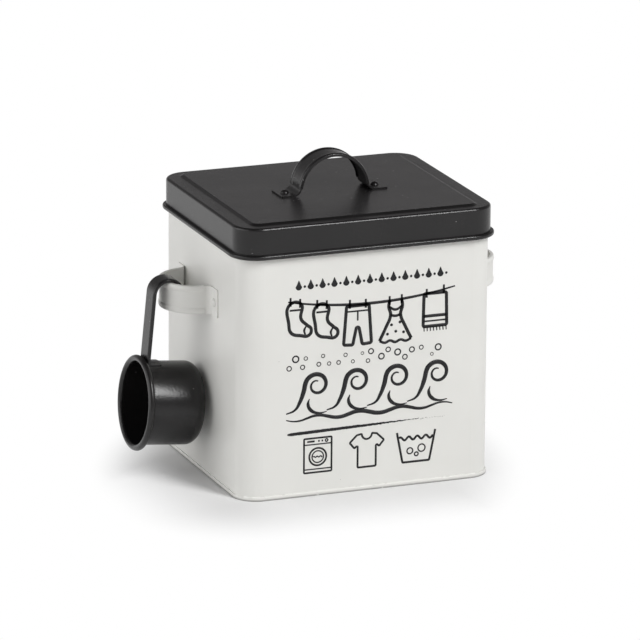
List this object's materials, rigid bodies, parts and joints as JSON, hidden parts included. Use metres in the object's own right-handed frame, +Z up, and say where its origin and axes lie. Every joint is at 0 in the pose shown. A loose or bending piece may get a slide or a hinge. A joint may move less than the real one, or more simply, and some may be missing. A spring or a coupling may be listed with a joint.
{
  "type": "laundry powder storage box",
  "caption": "Rounded rectangular tin box for washing powder, with a slip-over lid, arched strap handles and a cup scoop hung on one side.",
  "frame": {"origin": "centre of the foot of the box, on the surface that it stands on", "axes": "+Z up, out of the box's mouth; -Y out of the printed front; the scoop hangs on the -X side"},
  "size_m": [0.2726, 0.1732, 0.229],
  "materials": {
    "white_coat": "satin powder coat, warm white",
    "black_coat": "satin powder coat, black"
  },
  "bodies": {
    "box": {"box_wall": "white_coat", "box_base": "white_coat", "left_handle": "white_coat", "left_handle_front_rivet": "white_coat", "left_handle_rear_rivet": "white_coat", "right_handle": "white_coat", "right_handle_front_rivet": "white_coat", "right_handle_rear_rivet": "white_coat", "scoop_cup": "black_coat", "scoop_handle": "black_coat"},
    "lid": {"lid": "black_coat", "lid_handle": "black_coat", "lid_handle_left_rivet": "black_coat", "lid_handle_right_rivet": "black_coat"}
  },
  "joints": [
    {"name": "lid_lift", "type": "slide", "parent": "box", "child": "lid", "axis": [0, 0, 1], "range_m": [0, 0.08]}
  ]
}
